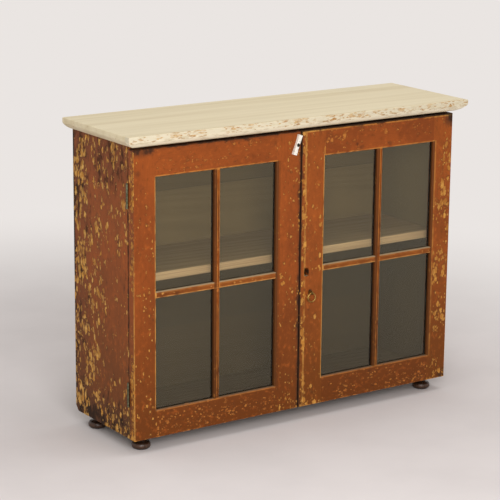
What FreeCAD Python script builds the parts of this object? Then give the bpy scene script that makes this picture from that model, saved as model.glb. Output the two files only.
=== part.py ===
import FreeCAD
import Part
import math
import os

from FreeCAD import Vector

# Two-door glazed cupboard in painted pine, in millimetres.
# Origin on the floor under the middle of the top slab: +X to the right, +Y to the back, +Z up.

# Overall layout
CASE_WIDTH = 940.0          # across the two sides, and across the two closed doors
DEPTH = 282.0               # back of the case to the door fronts
DOOR_HEIGHT = 698.0
FOOT_HEIGHT = 35.0          # floor to the underside of the case
TOP_GAP = 6.0               # shadow gap between the door tops and the slab
DOOR_THICK = 25.0
DOOR_GAP = 1.0              # between the closed doors and the case
MEETING_GAP = 3.0           # between the two closed doors

# Top slab
SLAB_THICK = 30.0
SLAB_END_OVERHANG = 27.0
SLAB_FRONT_OVERHANG = 26.0
SLAB_CURVE_HEIGHT = 18.0    # height of the curved bevel under the nose
SLAB_CURVE_BULGE = 3.0      # how far that curve swells past a straight bevel
SLAB_ARRIS = 3.0            # rounding of the top edge

# Case boards
ARRIS = 1.2                 # rounding of the outer edges of the sides and of the door frames
SIDE_THICK = 20.0
BOTTOM_THICK = 20.0
HOUSING = 8.0               # depth of the rebates that take the bottom board
BACK_THICK = 14.0
BACK_REBATE = 10.0          # how far the back boards reach into each side
BACK_BOARDS = 4             # one above the other
BACK_LAP = 8.0
CORNER_CUT_DEEP = 12.0      # bevel on the lower back corner of each side
CORNER_CUT_HIGH = 15.0
STRETCHER_THICK = 20.0
STRETCHER_WIDE = 60.0
TAIL_LENGTH = 12.0
TAIL_ROOT = 36.0
TAIL_TIP = 48.0

# Shelf
SHELF_TOP = 390.0           # above the underside of the case
SHELF_THICK = 21.0
SHELF_SETBACK = 45.0        # behind the door fronts
SHELF_ARRIS = 3.0
CLEAT = 18.0
CLEAT_FRONT = 12.0          # cleat end behind the shelf edge
CLEAT_BACK = 21.0           # cleat end in front of the back boards
CLEAT_BEVEL = 12.0

# Turned feet
FRONT_FOOT_END = 42.0       # centre from the end of the case
FRONT_FOOT_INSET = 42.0     # centre behind the door fronts
BACK_FOOT_END = 30.0
BACK_FOOT_INSET = 54.0      # centre in front of the case back
FOOT_RADIUS = 23.0
FOOT_WIDEST = 10.0          # height of the widest ring
FOOT_BASE_RADIUS = 15.0
FOOT_SHOULDER_RADIUS = 19.0
FOOT_SHOULDER = 17.0        # height where the belly meets the hollow
FOOT_NECK_RADIUS = 10.0
FOOT_NECK = 4.0             # straight length of the neck
FOOT_COVE = 2.0             # slope from the neck out to the collar
FOOT_COLLAR_RADIUS = 13.0
FOOT_COLLAR = 3.0
DOWEL_RADIUS = 9.0
DOWEL_LENGTH = 15.0

# Door frames and glazing
HINGE_STILE = 60.0
MEETING_STILE = 70.0
RAIL = 68.0
BAR = 16.0
STICKING = 3.5              # quarter round along the sight edges
GLASS_DEPTH = 8.0           # door front to glass
GLASS_THICK = 2.5
GLASS_REBATE = 5.5
GLASS_EDGE_PLAY = 1.0
BEAD_DEEP = 9.0
BEAD_ROUND = 3.5
TENON_LENGTH = 45.0
TENON_THICK = 8.0
TENON_SHOULDER = 13.0
BAR_TENON = 12.0
MORTISE_PLAY = 1.0          # space beyond a tenon's end
PEG_RADIUS = 3.5
PEG_SETBACK = 20.0

# Butt hinges
HINGE_LENGTH = 60.0
HINGE_FROM_END = 110.0      # door end to the middle of a hinge
LEAF_WIDTH = 17.0
LEAF_THICK = 1.6
KNUCKLE_RADIUS = 3.0
KNUCKLE_OUT = 2.0           # pin axis outside the side of the case
KNUCKLES = 3
KNUCKLE_PLAY = 0.3
PIN_RADIUS = 1.5
TURNING_PLAY = 0.05         # round a hinge pin or a pivot screw

# Slab screws and back nails
SLAB_SCREW_HEAD = 4.2       # radius
SLAB_SCREW_SINK = 3.0       # height of the countersunk head
SLAB_SCREW_SHANK = 2.0      # radius
SLAB_SCREW_LENGTH = 34.0
SLAB_SCREW_INSET = 135.0    # outer screws from the inner face of a side
NAIL_HEAD = 4.0
NAIL_HEAD_THICK = 1.5
NAIL_SHANK = 2.2
NAIL_LENGTH = 28.0
NAIL_EDGE = 46.0            # end nail from the edge of its board
NAIL_SPREAD = 150.0         # inner nails from the middle of the back

# Turn button on the left door
BUTTON_LENGTH = 50.0
BUTTON_WIDTH = 11.0
BUTTON_WAIST = 9.0
BUTTON_THICK = 8.0
BUTTON_ARRIS = 1.2
BUTTON_PIVOT_X = 14.0       # from the meeting edge
BUTTON_PIVOT_DROP = 32.0    # below the door top
BUTTON_TILT = 20.0          # degrees from upright, top to the right
BUTTON_PLAY = 0.3
BUTTON_SCREW_RADIUS = 2.0
BUTTON_SCREW_HEAD = 4.3
BUTTON_HEAD_HEIGHT = 2.8
BUTTON_SCREW_DEEP = 18.0    # length in the stile
BUTTON_SLOT = 0.7           # width and depth of the slot in the screw's head

# Lock in the right door and keeper in the left door
KEYHOLE_X = 19.0            # from the meeting edge
KEYHOLE_Z = 345.0           # above the door bottom
KEYHOLE_WIDTH = 13.0
KEYHOLE_HEIGHT = 20.0
LOCK_WIDTH = 35.0
LOCK_HEIGHT = 62.0
LOCK_DEEP = 12.0
BOLT_THICK = 6.0
BOLT_HEIGHT = 14.0
BOLT_LENGTH = 27.0
BOLT_RISE = 8.0             # keyhole centre to the underside of the bolt
BOLT_BACK = 0.5             # withdrawn bolt behind the meeting edge
BOLT_THROW = 9.0
BOLT_NOTCH = 4.7            # height of the key's notch under the bolt
BOLT_NOTCH_WIDTH = 10.0
BOLT_PLAY = 0.2
CHAMBER_WIDTH = 21.0
CHAMBER_DROP = 14.0
DRILL_PIN_RADIUS = 1.8
KEEPER_THICK = 1.5
KEEPER_HEIGHT = 44.0
KEEPER_PLAY = 0.6

# Ring pull on the right door
PULL_X = 31.0               # from the meeting edge
PULL_Z = 292.0              # eye above the door bottom
EYE_RADIUS = 3.9
EYE_WIRE = 1.3
EYE_STANDOFF = 7.0          # eye centre in front of the door
EYE_COLLAR_RADIUS = 4.5
EYE_COLLAR = 1.6
EYE_SHANK = 1.5
EYE_SHANK_DEEP = 20.0
RING_RADIUS = 11.0
RING_WIRE = 1.5
RING_PLAY = 0.15

OVERCUT = 1.0               # how far a cut runs past the face it opens

# Planes that several pieces share
X_SIDE = CASE_WIDTH / 2
X_INSIDE = X_SIDE - SIDE_THICK
Y_BACK = (DEPTH + SLAB_FRONT_OVERHANG) / 2
Y_FRONT = Y_BACK - DEPTH
Y_DOOR_BACK = Y_FRONT + DOOR_THICK
Y_CASE = Y_DOOR_BACK + DOOR_GAP
Y_INNER_BACK = Y_BACK - BACK_THICK
Y_GLASS = Y_FRONT + GLASS_DEPTH
Y_TENON = Y_FRONT + DOOR_THICK / 2
Z_CASE = FOOT_HEIGHT
Z_DOOR_TOP = Z_CASE + DOOR_HEIGHT
Z_SLAB = Z_DOOR_TOP + TOP_GAP
Z_TOP = Z_SLAB + SLAB_THICK
Z_STRETCHER = Z_SLAB - STRETCHER_THICK
Z_SHELF = Z_CASE + SHELF_TOP

# The left door; the right door is its mirror image in the plane x = 0
X_HINGE_EDGE = -X_SIDE
X_MEETING_EDGE = -MEETING_GAP / 2
SIGHT_X = (X_HINGE_EDGE + HINGE_STILE, X_MEETING_EDGE - MEETING_STILE)
SIGHT_Z = (Z_CASE + RAIL, Z_DOOR_TOP - RAIL)
BAR_X = sum(SIGHT_X) / 2
BAR_Z = sum(SIGHT_Z) / 2
X_PIN = X_HINGE_EDGE - KNUCKLE_OUT
Y_PIN = Y_DOOR_BACK + DOOR_GAP / 2
HINGE_Z = (Z_CASE + HINGE_FROM_END, Z_DOOR_TOP - HINGE_FROM_END)
KNUCKLE_STEP = HINGE_LENGTH / KNUCKLES

# Axes of the lock, the button and the pull
X_KEYHOLE = -X_MEETING_EDGE + KEYHOLE_X
Z_KEYHOLE = Z_CASE + KEYHOLE_Z
Y_BOLT = Y_DOOR_BACK - LOCK_DEEP / 2
Z_BOLT = (Z_KEYHOLE + BOLT_RISE, Z_KEYHOLE + BOLT_RISE + BOLT_HEIGHT)
X_BUTTON = X_MEETING_EDGE - BUTTON_PIVOT_X
Z_BUTTON = Z_DOOR_TOP - BUTTON_PIVOT_DROP
X_PULL = -X_MEETING_EDGE + PULL_X
Y_PULL = Y_FRONT - EYE_STANDOFF
Z_PULL = Z_CASE + PULL_Z
Z_RING_TOP = Z_PULL - (EYE_RADIUS - EYE_WIRE - RING_WIRE - RING_PLAY)

EAST = Vector(1, 0, 0)
NORTH = Vector(0, 1, 0)
UP = Vector(0, 0, 1)


# General shapes

def box(x0, x1, y0, y1, z0, z1):
    return Part.makeBox(x1 - x0, y1 - y0, z1 - z0, Vector(x0, y0, z0))


def cylinder(radius, length, start, direction):
    return Part.makeCylinder(radius, length, start, direction)


def face_of(edges):
    return Part.Face(Part.Wire(Part.__sortEdges__([edge.toShape() for edge in edges])))


def prism(points, direction):
    """Straight-sided solid over a closed outline of points."""
    return Part.Face(Part.makePolygon(points + [points[0]])).extrude(direction)


def line(a, b):
    return Part.LineSegment(a, b)


def arc(a, middle, b):
    return Part.Arc(a, middle, b)


def arris_cut(corner, along, in_a, in_b):
    """Waste along a straight outer edge that leaves a quarter round.

    The unit vectors in_a and in_b point from the edge into its two faces.
    """
    a = corner + in_a * ARRIS
    b = corner + in_b * ARRIS
    middle = corner + (in_a + in_b) * ARRIS * (1 - math.sqrt(0.5))
    return face_of([arc(a, middle, b), line(b, corner), line(corner, a)]).extrude(along)


def mirrored(shape):
    return shape.mirror(Vector(0, 0, 0), EAST)


def group(shapes):
    return Part.makeCompound(shapes)


def mitred_strip(outline, half_distance, half_length, u0, u1):
    """Strip along the lower side of an opening centred on the origin, mitred at both ends.

    The outline lies across the strip: u runs outward from the sight edge and y runs to the back.
    """
    reach = half_length + u1 + OVERCUT
    strip = face_of(outline(-half_distance)).extrude(EAST * (2 * reach))
    strip.translate(EAST * -reach)
    y0 = strip.BoundBox.YMin - OVERCUT
    corners = [
        Vector(-half_length - u0, y0, -half_distance - u0),
        Vector(half_length + u0, y0, -half_distance - u0),
        Vector(half_length + u1, y0, -half_distance - u1),
        Vector(-half_length - u1, y0, -half_distance - u1),
    ]
    return strip.common(prism(corners, NORTH * (strip.BoundBox.YLength + 2 * OVERCUT)))


def around_opening(outline, opening, u0, u1):
    """Four mitred strips round one pane opening."""
    x0, x1, z0, z1 = opening
    half_x = (x1 - x0) / 2
    half_z = (z1 - z0) / 2
    centre = Vector((x0 + x1) / 2, 0, (z0 + z1) / 2)
    strips = []
    for turn in range(4):
        distance, length = (half_z, half_x) if turn % 2 == 0 else (half_x, half_z)
        strip = mitred_strip(outline, distance, length, u0, u1)
        strip.rotate(Vector(0, 0, 0), NORTH, 90 * turn)
        strip.translate(centre)
        strips.append(strip)
    return strips


# Case

def dovetail(y_middle, x_root, outward):
    """Tail on the end of a stretcher, seen from above."""
    x_tip = x_root + outward * TAIL_LENGTH
    outline = [
        Vector(x_root, y_middle - TAIL_ROOT / 2, Z_STRETCHER),
        Vector(x_tip, y_middle - TAIL_TIP / 2, Z_STRETCHER),
        Vector(x_tip, y_middle + TAIL_TIP / 2, Z_STRETCHER),
        Vector(x_root, y_middle + TAIL_ROOT / 2, Z_STRETCHER),
    ]
    return prism(outline, UP * STRETCHER_THICK)


STRETCHER_Y = (Y_CASE, Y_INNER_BACK - STRETCHER_WIDE)


def stretcher(y0):
    """Flat top rail between the sides, with a tail at each end."""
    y_middle = y0 + STRETCHER_WIDE / 2
    rail = box(-X_INSIDE, X_INSIDE, y0, y0 + STRETCHER_WIDE, Z_STRETCHER, Z_SLAB)
    for outward in (-1, 1):
        rail = rail.fuse(dovetail(y_middle, outward * X_INSIDE, outward))
    return rail.removeSplitter()


def left_side():
    """Side board with rebates for back and bottom, sockets for the tails and a bevelled back corner."""
    board = box(-X_SIDE, -X_INSIDE, Y_CASE, Y_BACK, Z_CASE, Z_SLAB)
    back_rebate = box(-X_INSIDE - BACK_REBATE, -X_INSIDE, Y_INNER_BACK, Y_BACK, Z_CASE, Z_SLAB)
    z_bottom = Z_CASE + BOTTOM_THICK
    bottom_rebate = box(-X_INSIDE - HOUSING, -X_INSIDE, Y_CASE, Y_INNER_BACK, Z_CASE, z_bottom)
    corner = [
        Vector(-X_SIDE, Y_BACK, Z_CASE),
        Vector(-X_SIDE, Y_BACK - CORNER_CUT_DEEP, Z_CASE),
        Vector(-X_SIDE, Y_BACK, Z_CASE + CORNER_CUT_HIGH),
    ]
    cuts = [back_rebate, bottom_rebate, prism(corner, EAST * SIDE_THICK)]
    cuts += [dovetail(y0 + STRETCHER_WIDE / 2, -X_INSIDE, -1) for y0 in STRETCHER_Y]
    cuts += [leaf_plate(z, Y_CASE, 1) for z in HINGE_Z]
    cuts += [knuckle_room(z) for z in HINGE_Z]
    cuts += back_nail_list()
    rise = UP * (Z_SLAB - Z_CASE)
    cuts.append(arris_cut(Vector(-X_SIDE, Y_CASE, Z_CASE), rise, EAST, NORTH))
    cuts.append(arris_cut(Vector(-X_SIDE, Y_BACK, Z_CASE), rise, EAST, -NORTH))
    cuts.append(arris_cut(Vector(-X_SIDE, Y_CASE, Z_CASE), NORTH * (Y_BACK - Y_CASE), EAST, UP))
    return board.cut(cuts)


def bottom_board():
    x_end = X_INSIDE + HOUSING
    board = box(-x_end, x_end, Y_CASE, Y_INNER_BACK, Z_CASE, Z_CASE + BOTTOM_THICK)
    places = foot_places().values()
    return board.cut([cylinder(DOWEL_RADIUS, DOWEL_LENGTH, Vector(x, y, Z_CASE), UP) for x, y in places])


def slab_edge(inner, nose, at):
    """Moulded edge in section: curved bevel, upright nose and soft arris, from the case out and up.

    The function at places a point of the section, given its distance out and its height.
    """
    z_nose = Z_SLAB + SLAB_CURVE_HEIGHT
    out = 1 if nose > inner else -1
    width = abs(nose - inner)
    slope = math.hypot(width, SLAB_CURVE_HEIGHT)
    swell_out = out * SLAB_CURVE_BULGE * SLAB_CURVE_HEIGHT / slope
    swell_down = SLAB_CURVE_BULGE * width / slope
    middle = at((inner + nose) / 2 + swell_out, Z_SLAB + SLAB_CURVE_HEIGHT / 2 - swell_down)
    soft = SLAB_ARRIS * (1 - math.sqrt(0.5))
    z_arris = Z_TOP - SLAB_ARRIS
    return [
        arc(at(inner, Z_SLAB), middle, at(nose, z_nose)),
        line(at(nose, z_nose), at(nose, z_arris)),
        arc(at(nose, z_arris), at(nose - out * soft, Z_TOP - soft), at(nose - out * SLAB_ARRIS, Z_TOP)),
    ]


def top_slab():
    """Slab whose front and ends share one moulding, mitred at the front corners."""
    y_nose = Y_FRONT - SLAB_FRONT_OVERHANG
    x_nose = X_SIDE + SLAB_END_OVERHANG

    def across_y(y, z):
        return Vector(0, y, z)

    def across_x(x, z):
        return Vector(x, 0, z)

    front = slab_edge(Y_FRONT, y_nose, across_y)
    front.append(line(across_y(y_nose + SLAB_ARRIS, Z_TOP), across_y(Y_BACK, Z_TOP)))
    front.append(line(across_y(Y_BACK, Z_TOP), across_y(Y_BACK, Z_SLAB)))
    front.append(line(across_y(Y_BACK, Z_SLAB), across_y(Y_FRONT, Z_SLAB)))
    ends = slab_edge(-X_SIDE, -x_nose, across_x) + slab_edge(X_SIDE, x_nose, across_x)
    ends.append(line(across_x(-X_SIDE, Z_SLAB), across_x(X_SIDE, Z_SLAB)))
    ends.append(line(across_x(SLAB_ARRIS - x_nose, Z_TOP), across_x(x_nose - SLAB_ARRIS, Z_TOP)))
    along = face_of(front).extrude(EAST * 2 * (x_nose + OVERCUT))
    along.translate(EAST * (-x_nose - OVERCUT))
    across = face_of(ends).extrude(NORTH * (Y_BACK - y_nose + 2 * OVERCUT))
    across.translate(NORTH * (y_nose - OVERCUT))
    return along.common(across).cut(slab_screws())


def slab_screw(x, y):
    """Countersunk screw driven up through a stretcher into the slab."""
    seat = Vector(x, y, Z_STRETCHER)
    head = Part.makeCone(SLAB_SCREW_HEAD, SLAB_SCREW_SHANK, SLAB_SCREW_SINK, seat, UP)
    return head.fuse(cylinder(SLAB_SCREW_SHANK, SLAB_SCREW_LENGTH, seat, UP)).removeSplitter()


def slab_screws():
    x_outer = X_INSIDE - SLAB_SCREW_INSET
    return [slab_screw(x, y0 + STRETCHER_WIDE / 2) for y0 in STRETCHER_Y for x in (-x_outer, 0, x_outer)]


def shelf():
    """Shelf board with a softened front edge."""
    y0 = Y_FRONT + SHELF_SETBACK
    z0 = Z_SHELF - SHELF_THICK
    r = SHELF_ARRIS
    soft = r * (1 - math.sqrt(0.5))
    outline = [
        line(Vector(0, Y_INNER_BACK, z0), Vector(0, y0 + r, z0)),
        arc(Vector(0, y0 + r, z0), Vector(0, y0 + soft, z0 + soft), Vector(0, y0, z0 + r)),
        line(Vector(0, y0, z0 + r), Vector(0, y0, Z_SHELF - r)),
        arc(Vector(0, y0, Z_SHELF - r), Vector(0, y0 + soft, Z_SHELF - soft), Vector(0, y0 + r, Z_SHELF)),
        line(Vector(0, y0 + r, Z_SHELF), Vector(0, Y_INNER_BACK, Z_SHELF)),
        line(Vector(0, Y_INNER_BACK, Z_SHELF), Vector(0, Y_INNER_BACK, z0)),
    ]
    board = face_of(outline).extrude(EAST * (2 * X_INSIDE))
    board.translate(EAST * -X_INSIDE)
    return board


def left_shelf_cleat():
    """Square batten under the shelf end, bevelled below at its front."""
    y0 = Y_FRONT + SHELF_SETBACK + CLEAT_FRONT
    y1 = Y_INNER_BACK - CLEAT_BACK
    z1 = Z_SHELF - SHELF_THICK
    outline = [
        Vector(-X_INSIDE, y0, z1),
        Vector(-X_INSIDE, y0, z1 - CLEAT + CLEAT_BEVEL),
        Vector(-X_INSIDE, y0 + CLEAT_BEVEL, z1 - CLEAT),
        Vector(-X_INSIDE, y1, z1 - CLEAT),
        Vector(-X_INSIDE, y1, z1),
    ]
    return prism(outline, EAST * CLEAT)


X_BACK_END = X_INSIDE + BACK_REBATE
BACK_BOARD_WIDE = (Z_SLAB - Z_CASE) / BACK_BOARDS


def back_boards():
    """Level boards between the sides, counted from below, each half-lapped over the next one up."""
    y_half = Y_INNER_BACK + BACK_THICK / 2
    boards = {}
    for i in range(BACK_BOARDS):
        z0 = Z_CASE + i * BACK_BOARD_WIDE
        z1 = z0 + BACK_BOARD_WIDE
        board = box(-X_BACK_END, X_BACK_END, Y_INNER_BACK, Y_BACK, z0, z1)
        if i < BACK_BOARDS - 1:
            board = board.fuse(box(-X_BACK_END, X_BACK_END, y_half, Y_BACK, z1, z1 + BACK_LAP))
        if i > 0:
            board = board.cut(box(-X_BACK_END, X_BACK_END, y_half, Y_BACK, z0, z0 + BACK_LAP))
        boards["back_board_%d" % (i + 1)] = board.removeSplitter().cut(back_nail_list())
    return boards


def nail(head_centre):
    """Cut nail driven forward from the back, with a square head flush with the boards."""
    x, y, z = head_centre
    h = NAIL_HEAD / 2
    s = NAIL_SHANK / 2
    head = box(x - h, x + h, y - NAIL_HEAD_THICK, y, z - h, z + h)
    return head.fuse(box(x - s, x + s, y - NAIL_LENGTH, y, z - s, z + s)).removeSplitter()


def back_nail_list():
    """Two nails in each end of every board, and rows into the bottom, the shelf and the back stretcher."""
    x_rebate = X_BACK_END - BACK_REBATE / 2
    places = []
    for i in range(BACK_BOARDS):
        z0 = Z_CASE + i * BACK_BOARD_WIDE
        for z in (z0 + NAIL_EDGE, z0 + BACK_BOARD_WIDE - NAIL_EDGE):
            places += [(-x_rebate, z), (x_rebate, z)]
    for z in (Z_CASE + BOTTOM_THICK / 2, Z_SHELF - SHELF_THICK / 2, Z_SLAB - STRETCHER_THICK / 2):
        places += [(-NAIL_SPREAD, z), (NAIL_SPREAD, z)]
    return [nail((x, Y_BACK, z)) for x, z in places]


def foot_places():
    x_front = X_SIDE - FRONT_FOOT_END
    x_back = X_SIDE - BACK_FOOT_END
    y_front = Y_FRONT + FRONT_FOOT_INSET
    y_back = Y_BACK - BACK_FOOT_INSET
    return {
        "foot_front_left": (-x_front, y_front),
        "foot_front_right": (x_front, y_front),
        "foot_back_left": (-x_back, y_back),
        "foot_back_right": (x_back, y_back),
    }


def foot(x, y):
    """Turned bun foot: a flat round belly, a hollow up to the neck, a collar and a dowel above it."""
    z_collar = FOOT_HEIGHT - FOOT_COLLAR
    z_neck_top = z_collar - FOOT_COVE
    z_neck = z_neck_top - FOOT_NECK
    soft = 1 - math.sqrt(0.5)
    centre = Vector(0, 0, 0)
    base = Vector(FOOT_BASE_RADIUS, 0, 0)
    widest = Vector(FOOT_RADIUS, 0, FOOT_WIDEST)
    shoulder = Vector(FOOT_SHOULDER_RADIUS, 0, FOOT_SHOULDER)
    neck = Vector(FOOT_NECK_RADIUS, 0, z_neck)
    hollow = Vector(neck.x + soft * (shoulder.x - neck.x), 0, shoulder.z + soft * (neck.z - shoulder.z))
    upper = [
        neck,
        Vector(FOOT_NECK_RADIUS, 0, z_neck_top),
        Vector(FOOT_COLLAR_RADIUS, 0, z_collar),
        Vector(FOOT_COLLAR_RADIUS, 0, FOOT_HEIGHT),
        Vector(DOWEL_RADIUS, 0, FOOT_HEIGHT),
        Vector(DOWEL_RADIUS, 0, FOOT_HEIGHT + DOWEL_LENGTH),
        Vector(0, 0, FOOT_HEIGHT + DOWEL_LENGTH),
        centre,
    ]
    outline = [line(centre, base), arc(base, widest, shoulder), arc(shoulder, hollow, neck)]
    outline += [line(a, b) for a, b in zip(upper, upper[1:])]
    solid = face_of(outline).revolve(centre, UP, 360)
    solid.translate(Vector(x, y, 0))
    return solid


# Hinges on the left, from which the right ones are mirrored

def knuckle(z_middle, index, radius, play):
    """One knuckle of a hinge, counted from below."""
    z0 = z_middle - HINGE_LENGTH / 2 + index * KNUCKLE_STEP + play
    return cylinder(radius, KNUCKLE_STEP - 2 * play, Vector(X_PIN, Y_PIN, z0), UP)


def knuckle_room(z_middle):
    """Room for the round knuckles at the corner of the wood."""
    z0 = z_middle - HINGE_LENGTH / 2
    return cylinder(KNUCKLE_RADIUS + KNUCKLE_PLAY, HINGE_LENGTH, Vector(X_PIN, Y_PIN, z0), UP)


def leaf_plate(z_middle, y_face, inward):
    """Flat of a leaf, sunk flush into the wood on the inward side of a face."""
    y0, y1 = sorted((y_face, y_face + inward * LEAF_THICK))
    return box(X_PIN, X_PIN + LEAF_WIDTH, y0, y1, z_middle - HINGE_LENGTH / 2, z_middle + HINGE_LENGTH / 2)


def leaf(z_middle, y_face, inward, own, bore):
    """One leaf with its own knuckles, cut back where the other leaf's knuckles turn."""
    shape = leaf_plate(z_middle, y_face, inward)
    for index in range(KNUCKLES):
        if index % 2 == own:
            shape = shape.fuse(knuckle(z_middle, index, KNUCKLE_RADIUS, KNUCKLE_PLAY / 2))
    others = [knuckle(z_middle, i, KNUCKLE_RADIUS + KNUCKLE_PLAY, -KNUCKLE_PLAY / 2)
              for i in range(KNUCKLES) if i % 2 != own]
    hole = cylinder(bore, 2 * HINGE_LENGTH, Vector(X_PIN, Y_PIN, z_middle - HINGE_LENGTH), UP)
    return shape.cut(others + [hole]).removeSplitter()


def case_leaves():
    return [leaf(z, Y_CASE, 1, 0, PIN_RADIUS) for z in HINGE_Z]


def door_leaves():
    return [leaf(z, Y_DOOR_BACK, -1, 1, PIN_RADIUS + TURNING_PLAY) for z in HINGE_Z]


def hinge_pins():
    """Pins pressed into the case leaves, as long as the row of knuckles."""
    length = HINGE_LENGTH - KNUCKLE_PLAY
    return [cylinder(PIN_RADIUS, length, Vector(X_PIN, Y_PIN, z - length / 2), UP) for z in HINGE_Z]


# Left door

def pane_openings():
    """Sight rectangles of the four panes."""
    columns = {"outer": (SIGHT_X[0], BAR_X - BAR / 2), "inner": (BAR_X + BAR / 2, SIGHT_X[1])}
    rows = {"lower": (SIGHT_Z[0], BAR_Z - BAR / 2), "upper": (BAR_Z + BAR / 2, SIGHT_Z[1])}
    return {"%s_%s" % (r, c): columns[c] + rows[r] for r in rows for c in columns}


def sticking_outline(z_sight):
    """Waste that leaves a quarter round on the front edge of the wood."""
    y0 = Y_FRONT
    y_open = y0 - OVERCUT
    r = STICKING
    soft = r * (1 - math.sqrt(0.5))
    return [
        arc(Vector(0, y0 + r, z_sight), Vector(0, y0 + soft, z_sight - soft), Vector(0, y0, z_sight - r)),
        line(Vector(0, y0, z_sight - r), Vector(0, y_open, z_sight - r)),
        line(Vector(0, y_open, z_sight - r), Vector(0, y_open, z_sight)),
        line(Vector(0, y_open, z_sight), Vector(0, y0 + r, z_sight)),
    ]


def bead_outline(z_sight):
    """Glazing bead against the back of the glass, rounded towards the room inside."""
    y0 = Y_GLASS + GLASS_THICK
    y1 = y0 + BEAD_DEEP
    z_out = z_sight - GLASS_REBATE
    r = BEAD_ROUND
    soft = r * (1 - math.sqrt(0.5))
    return [
        line(Vector(0, y0, z_sight), Vector(0, y0, z_out)),
        line(Vector(0, y0, z_out), Vector(0, y1, z_out)),
        line(Vector(0, y1, z_out), Vector(0, y1, z_sight - r)),
        arc(Vector(0, y1, z_sight - r), Vector(0, y1 - soft, z_sight - soft), Vector(0, y1 - r, z_sight)),
        line(Vector(0, y1 - r, z_sight), Vector(0, y0, z_sight)),
    ]


def pane_cutter(opening):
    """All that is cut away for one pane: sight opening, moulded front edges and glass rebate."""
    x0, x1, z0, z1 = opening
    g = GLASS_REBATE
    y_open = Y_DOOR_BACK + OVERCUT
    hole = box(x0, x1, Y_FRONT - OVERCUT, y_open, z0, z1)
    rebate = box(x0 - g, x1 + g, Y_GLASS, y_open, z0 - g, z1 + g)
    return [hole, rebate] + around_opening(sticking_outline, opening, 0, STICKING)


def door_arrises():
    """Rounding of the outer edges of the door frame, front and back."""
    across = EAST * (X_MEETING_EDGE - X_HINGE_EDGE)
    rise = UP * DOOR_HEIGHT
    cuts = []
    for y, inward in ((Y_FRONT, NORTH), (Y_DOOR_BACK, -NORTH)):
        cuts.append(arris_cut(Vector(X_HINGE_EDGE, y, Z_CASE), rise, EAST, inward))
        cuts.append(arris_cut(Vector(X_MEETING_EDGE, y, Z_CASE), rise, -EAST, inward))
        cuts.append(arris_cut(Vector(X_HINGE_EDGE, y, Z_CASE), across, UP, inward))
        cuts.append(arris_cut(Vector(X_HINGE_EDGE, y, Z_DOOR_TOP), across, -UP, inward))
    return cuts


PANE_CUTS = [cut for opening in pane_openings().values() for cut in pane_cutter(opening)]
DOOR_ARRISES = door_arrises()


def rail_tenon(x_shoulder, outward, z0, z1, play):
    reach = x_shoulder + outward * (TENON_LENGTH + play)
    x0, x1 = sorted((x_shoulder, reach))
    y0 = Y_TENON - TENON_THICK / 2
    return box(x0, x1, y0, y0 + TENON_THICK, z0 + TENON_SHOULDER, z1 - TENON_SHOULDER)


RAIL_Z = ((Z_CASE, SIGHT_Z[0]), (SIGHT_Z[1], Z_DOOR_TOP))


def bar_tongue():
    return BAR - 2 * GLASS_REBATE


def cross_tenon(x_shoulder, outward, play):
    x0, x1 = sorted((x_shoulder, x_shoulder + outward * (BAR_TENON + play)))
    half = bar_tongue() / 2
    y0 = Y_TENON - TENON_THICK / 2
    return box(x0, x1, y0, y0 + TENON_THICK, BAR_Z - half, BAR_Z + half)


def upright_tenon(z_shoulder, upward, play):
    z0, z1 = sorted((z_shoulder, z_shoulder + upward * (BAR_TENON + play)))
    half = bar_tongue() / 2
    y0 = Y_TENON - TENON_THICK / 2
    return box(BAR_X - half, BAR_X + half, y0, y0 + TENON_THICK, z0, z1)


def joint_peg_list():
    """Round pegs through the four corner joints."""
    pegs = []
    for x in (SIGHT_X[0] - PEG_SETBACK, SIGHT_X[1] + PEG_SETBACK):
        for z0, z1 in RAIL_Z:
            pegs.append(cylinder(PEG_RADIUS, DOOR_THICK, Vector(x, Y_FRONT, (z0 + z1) / 2), NORTH))
    return pegs


def stile(x0, x1, x_sight, outward):
    """Upright of the door frame with its mortises, glass rebate and peg holes."""
    post = box(x0, x1, Y_FRONT, Y_DOOR_BACK, Z_CASE, Z_DOOR_TOP)
    cuts = [rail_tenon(x_sight, outward, z0, z1, MORTISE_PLAY) for z0, z1 in RAIL_Z]
    cuts.append(cross_tenon(x_sight, outward, MORTISE_PLAY))
    return post.cut(cuts + joint_peg_list() + PANE_CUTS + DOOR_ARRISES)


def hinge_stile():
    post = stile(X_HINGE_EDGE, SIGHT_X[0], SIGHT_X[0], -1)
    cuts = [leaf_plate(z, Y_DOOR_BACK, -1) for z in HINGE_Z]
    return post.cut(cuts + [knuckle_room(z) for z in HINGE_Z])


def meeting_stile():
    return stile(SIGHT_X[1], X_MEETING_EDGE, SIGHT_X[1], 1)


def rail(z0, z1, z_sight, outward):
    """Level member between the stiles, with a tenon at each end."""
    bar = box(SIGHT_X[0], SIGHT_X[1], Y_FRONT, Y_DOOR_BACK, z0, z1)
    bar = bar.fuse([rail_tenon(SIGHT_X[0], -1, z0, z1, 0), rail_tenon(SIGHT_X[1], 1, z0, z1, 0)])
    cuts = [upright_tenon(z_sight, outward, MORTISE_PLAY)]
    return bar.cut(cuts + joint_peg_list() + PANE_CUTS + DOOR_ARRISES).removeSplitter()


def upright_bar():
    """Glazing bar between the rails, halved at the back for the cross bar."""
    half = BAR / 2
    bar = box(BAR_X - half, BAR_X + half, Y_FRONT, Y_DOOR_BACK, SIGHT_Z[0], SIGHT_Z[1])
    bar = bar.fuse([upright_tenon(SIGHT_Z[0], -1, 0), upright_tenon(SIGHT_Z[1], 1, 0)])
    notch = bar_tongue() / 2
    halving = box(BAR_X - half, BAR_X + half, Y_TENON, Y_DOOR_BACK, BAR_Z - notch, BAR_Z + notch)
    return bar.cut(PANE_CUTS + [halving]).removeSplitter()


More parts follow.
